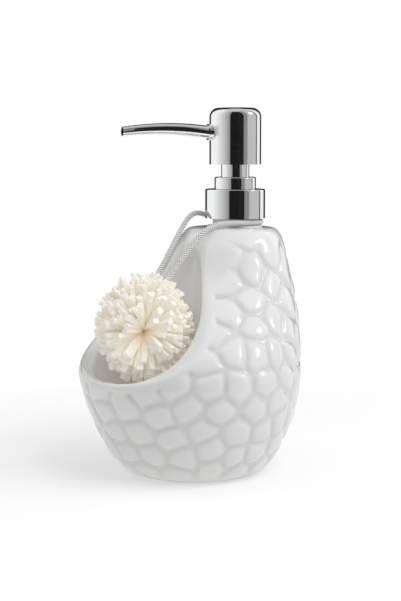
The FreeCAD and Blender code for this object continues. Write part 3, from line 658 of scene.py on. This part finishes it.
def braid_surface(line):
    """Points round the cord, ring by ring, and how far each is raised by a strand, from 0 to 1."""
    points = []
    raised = []
    travelled = 0.0
    side = UP.cross(line[1] - line[0]).normalized()
    for index, place in enumerate(line):
        before = line[max(index - 1, 0)]
        after = line[min(index + 1, len(line) - 1)]
        along = (after - before).normalized()
        side = (side - along * side.dot(along)).normalized()
        other = along.cross(side)
        travelled += (place - before).length
        twist = 2 * math.pi * travelled / BRAID_PITCH
        for corner in range(CORD_SIDES):
            angle = 2 * math.pi * corner / CORD_SIDES
            across = BRAID_STRANDS * angle / 2
            height = abs(math.cos(across + twist) * math.cos(across - twist))
            radius = CORD_DIAMETER / 2 - BRAID_DEPTH * (1 - height)
            points.append(place + (side * math.cos(angle) + other * math.sin(angle)) * radius)
            raised.append(height)
    return points, raised


def braided_cord(material):
    """Cord with the strands of its braid."""
    line = spaced(cord_line(), CORD_RING_STEP)
    points, raised = braid_surface(line)
    mesh = mesh_from("braided_cord", points, tube_faces(len(line), CORD_SIDES))
    add_shade(mesh, "raised", raised)
    mesh.materials.append(material)
    cord = add_object("braided_cord", mesh)
    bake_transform(cord)
    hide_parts("cord_loop")


# Scrubber


def strip_section():
    """Outline of a strip: a rectangle with its corners taken off."""
    half_width = STRIP_WIDTH / 2
    half_thick = STRIP_THICKNESS / 2
    cut = STRIP_THICKNESS * STRIP_CORNER_SHARE
    return [
        (half_width, -half_thick + cut), (half_width, half_thick - cut),
        (half_width - cut, half_thick), (-half_width + cut, half_thick),
        (-half_width, half_thick - cut), (-half_width, -half_thick + cut),
        (-half_width + cut, -half_thick), (half_width - cut, -half_thick),
    ]


def strip_directions(parting, chance):
    """Directions and relative sizes of the strips, parted in front of the knot and finer at the edge."""
    golden_angle = math.pi * (3 - math.sqrt(5))
    chosen = []
    for index in range(STRIP_COUNT):
        level = 1 - 2 * (index + 0.5) / STRIP_COUNT
        ring = math.sqrt(1 - level * level)
        turn = golden_angle * index
        direction = Vector((ring * math.cos(turn), ring * math.sin(turn), level))
        jitter = Vector((chance.gauss(0, 1), chance.gauss(0, 1), chance.gauss(0, 1)))
        direction = (direction + jitter * STRIP_JITTER).normalized()
        lean = direction.angle(parting)
        if lean < PARTING_ANGLE or (lean < FRONT_ANGLE and index % 2):
            continue
        if lean < PARTING_ANGLE + PARTING_SPREAD:
            away = (direction - parting * direction.dot(parting)).normalized()
            direction = (direction + away * PARTING_PUSH).normalized()
        chosen.append((direction, 1.0 if lean < FRONT_ANGLE else EDGE_STRIP_SHARE))
    return chosen


def strip_surface(knot, run, fineness, section, chance):
    """Points of one strip along its run from the knot, each with its share of the length."""
    course = run.normalized()
    side = course.orthogonal().normalized()
    side.rotate(Matrix.Rotation(chance.uniform(0, math.pi), 3, course))
    other = course.cross(side)
    bow = side * chance.uniform(-1, 1) + other * chance.uniform(-1, 1)
    made = []
    for ring in range(STRIP_RINGS + 1):
        share = min(ring / (STRIP_RINGS - 1), 1.0)
        distance = STRIP_ROOT + (run.length - STRIP_ROOT) * share
        width = STRIP_ROOT_SHARE + (1 - STRIP_ROOT_SHARE) * smooth_step(0.0, STRIP_WIDE_FROM, share)
        if ring == STRIP_RINGS:
            width = STRIP_END_SHARE
        elif share == 1.0:
            distance -= STRIP_END_ROUND
        width *= fineness
        middle = knot + course * distance + bow * STRIP_BOW * math.sin(math.pi * share)
        for across, thick in section:
            point = middle + side * across * width + other * thick * width
            made.append((point, distance / run.length))
    return made


def foam_scrubber(material, skin):
    """Scrubber of foam strips that spring from its knot, cut to a rounded form."""
    low, high = (Vector(corner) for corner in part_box("scrubber_head"))
    centre = (low + high) / 2
    half = (high - low) / 2
    place, sight = pixel_ray(PARTING_PIXEL)
    nearest = place + sight * ((centre - place).dot(sight) - half.x)
    parting = (nearest - centre).normalized()
    knot = centre + parting * KNOT_ADVANCE
    chance = random.Random(STRIP_SEED)
    cup = BVHTree.FromObject(skin, bpy.context.evaluated_depsgraph_get())
    section = strip_section()
    strip_faces = tube_faces(STRIP_RINGS + 1, len(section))
    points = []
    shares = []
    faces = []
    for direction, fineness in strip_directions(parting, chance):
        reach = 1 / math.sqrt(sum((direction[i] / half[i]) ** 2 for i in range(3)))
        length = reach * chance.uniform(*STRIP_LENGTH_SHARES)
        to_wall = cup.ray_cast(centre, direction, reach * 2)[3]
        if to_wall is not None:
            length = min(length, to_wall - STRIP_CUP_GAP - STRIP_THICKNESS / 2)
        start = len(points)
        run = centre + direction * length - knot
        for point, share in strip_surface(knot, run, fineness, section, chance):
            points.append(point)
            shares.append(share)
        for face in strip_faces:
            faces.append(tuple(start + corner for corner in face))
    mesh = mesh_from("foam_strips", points, faces)
    mesh.shade_flat()
    add_shade(mesh, "along", shares)
    mesh.materials.append(material)
    scrubber = add_object("foam_strips", mesh)
    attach(scrubber, "scrubber")
    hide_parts("scrubber_head")


# Surroundings


def grey(tone):
    """Opaque grey of a tone from 0 to 1."""
    return (tone, tone, tone, 1.0)


def flat_mesh(name, corners, material):
    """Mesh of one four-cornered face."""
    mesh = mesh_from(name, corners, [(0, 1, 2, 3)])
    mesh.materials.append(material)
    return mesh


def add_floor():
    """Pale floor that fades into the background away from the bottle."""
    material, tree, shader = new_material("floor")
    glow = {"Emission Color": grey(1.0), "Emission Strength": 0.16}
    set_inputs(shader, {"Base Color": grey(0.97), "Roughness": 0.6, **glow})
    place = add_node(tree, "ShaderNodeTexCoord").outputs["Object"]
    shrink = add_node(tree, "ShaderNodeMapping", Scale=(FLOOR_FADE_SCALE, FLOOR_FADE_SCALE, 1.0))
    gradient = add_node(tree, "ShaderNodeTexGradient", gradient_type="SPHERICAL")
    tree.links.new(place, shrink.inputs["Vector"])
    tree.links.new(shrink.outputs["Vector"], gradient.inputs["Vector"])
    fade = add_ramp(tree, gradient.outputs["Fac"], [(0.0, 0.0), (0.5, 1.0)])
    tree.links.new(fade, shader.inputs["Alpha"])
    reach = FLOOR_REACH
    corners = [(-reach, -reach, 0), (reach, -reach, 0), (reach, reach, 0), (-reach, reach, 0)]
    floor = add_object("floor", flat_mesh("floor", corners, material))
    floor.visible_diffuse = False


def add_card():
    """Dark card to the camera's right, which only polished surfaces show."""
    material, _, shader = new_material("card")
    set_inputs(shader, {"Base Color": grey(0.01), "Roughness": 1.0})
    ahead, left, right, bottom, top = CARD
    corners = [(ahead, left, bottom), (ahead, right, bottom), (ahead, right, top), (ahead, left, top)]
    card = add_object("card", flat_mesh("card", corners, material))
    card.visible_camera = False
    card.visible_diffuse = False
    card.visible_shadow = False


def add_softbox(name, place, aim, side, power, mirrored):
    """Soft square light, which polished surfaces mirror or not."""
    data = bpy.data.lights.new(name, "AREA")
    data.shape = "SQUARE"
    data.size = side
    data.energy = power
    made = add_object(name, data)
    made.visible_glossy = mirrored
    made.location = place
    made.rotation_euler = (Vector(aim) - Vector(place)).to_track_quat("-Z", "Y").to_euler()


def map_range(tree, value, low, high):
    """Share of a linked value's way from low to high, kept from 0 to 1."""
    made = add_node(tree, "ShaderNodeMapRange")
    set_inputs(made, {"From Min": low, "From Max": high})
    tree.links.new(value, made.inputs["Value"])
    return made.outputs["Result"]


def bearing_ramp(tree, turned, tones):
    """Grey by bearing, from (degrees, tone) pairs, where turned is the share of a whole turn."""
    return add_ramp(tree, turned, [((degrees + 180) / 360, tone) for degrees, tone in tones])


def rise_ramp(tree, rise, band):
    """Ramp from 0 to 1 between two rises of a ray."""
    return add_ramp(tree, rise, list(zip(band, (0.0, 1.0))))


def add_world():
    """White studio whose dark and light panels show only in reflections."""
    world = bpy.data.worlds.new("studio")
    bpy.context.scene.world = world
    world.use_nodes = True
    tree = world.node_tree
    to_camera = math.pi / 2 - CAMERA_TURN
    ray = add_node(tree, "ShaderNodeTexCoord").outputs["Generated"]
    turn = add_node(tree, "ShaderNodeVectorRotate", rotation_type="Z_AXIS", Angle=to_camera)
    tree.links.new(ray, turn.inputs["Vector"])
    parts = add_node(tree, "ShaderNodeSeparateXYZ")
    tree.links.new(turn.outputs["Vector"], parts.inputs["Vector"])
    rise = parts.outputs["Z"]
    bearing = add_node(tree, "ShaderNodeMath", operation="ARCTAN2")
    tree.links.new(parts.outputs["Y"], bearing.inputs[0])
    tree.links.new(parts.outputs["X"], bearing.inputs[1])
    turned = map_range(tree, bearing.outputs["Value"], -math.pi, math.pi)
    panels = bearing_ramp(tree, turned, PANELS)
    slanted = bearing_ramp(tree, turned, SLANTED)
    sides = mix_colours(tree, map_range(tree, rise, *SLANTED_RISE), panels, slanted)
    lit = mix_colours(tree, rise_ramp(tree, rise, OVERHEAD_PANEL_RISE), sides, OVERHEAD_PANEL)
    glow = bearing_ramp(tree, turned, GLOW)
    upper = mix_colours(tree, rise_ramp(tree, rise, OVERHEAD_GLOW_RISE), glow, OVERHEAD_GLOW)
    shed = mix_colours(tree, map_range(tree, rise, *FLOOR_GLOW_RISE), upper, FLOOR_GLOW)
    path = add_node(tree, "ShaderNodeLightPath")
    mirrored = mix_colours(tree, path.outputs["Is Glossy Ray"], shed, lit)
    seen = mix_colours(tree, path.outputs["Is Camera Ray"], mirrored, BACKDROP)
    tree.links.new(seen, tree.nodes["Background"].inputs["Color"])


add_camera()
dress_model()
yielding_spring()
braided_cord(braid())
bottle_skin = pebbled_skin(glaze())
foam_scrubber(foam(), bottle_skin)
add_floor()
add_card()
add_world()
for lamp in LAMPS:
    add_softbox(*lamp)
bpy.context.scene.view_settings.view_transform = "Standard"
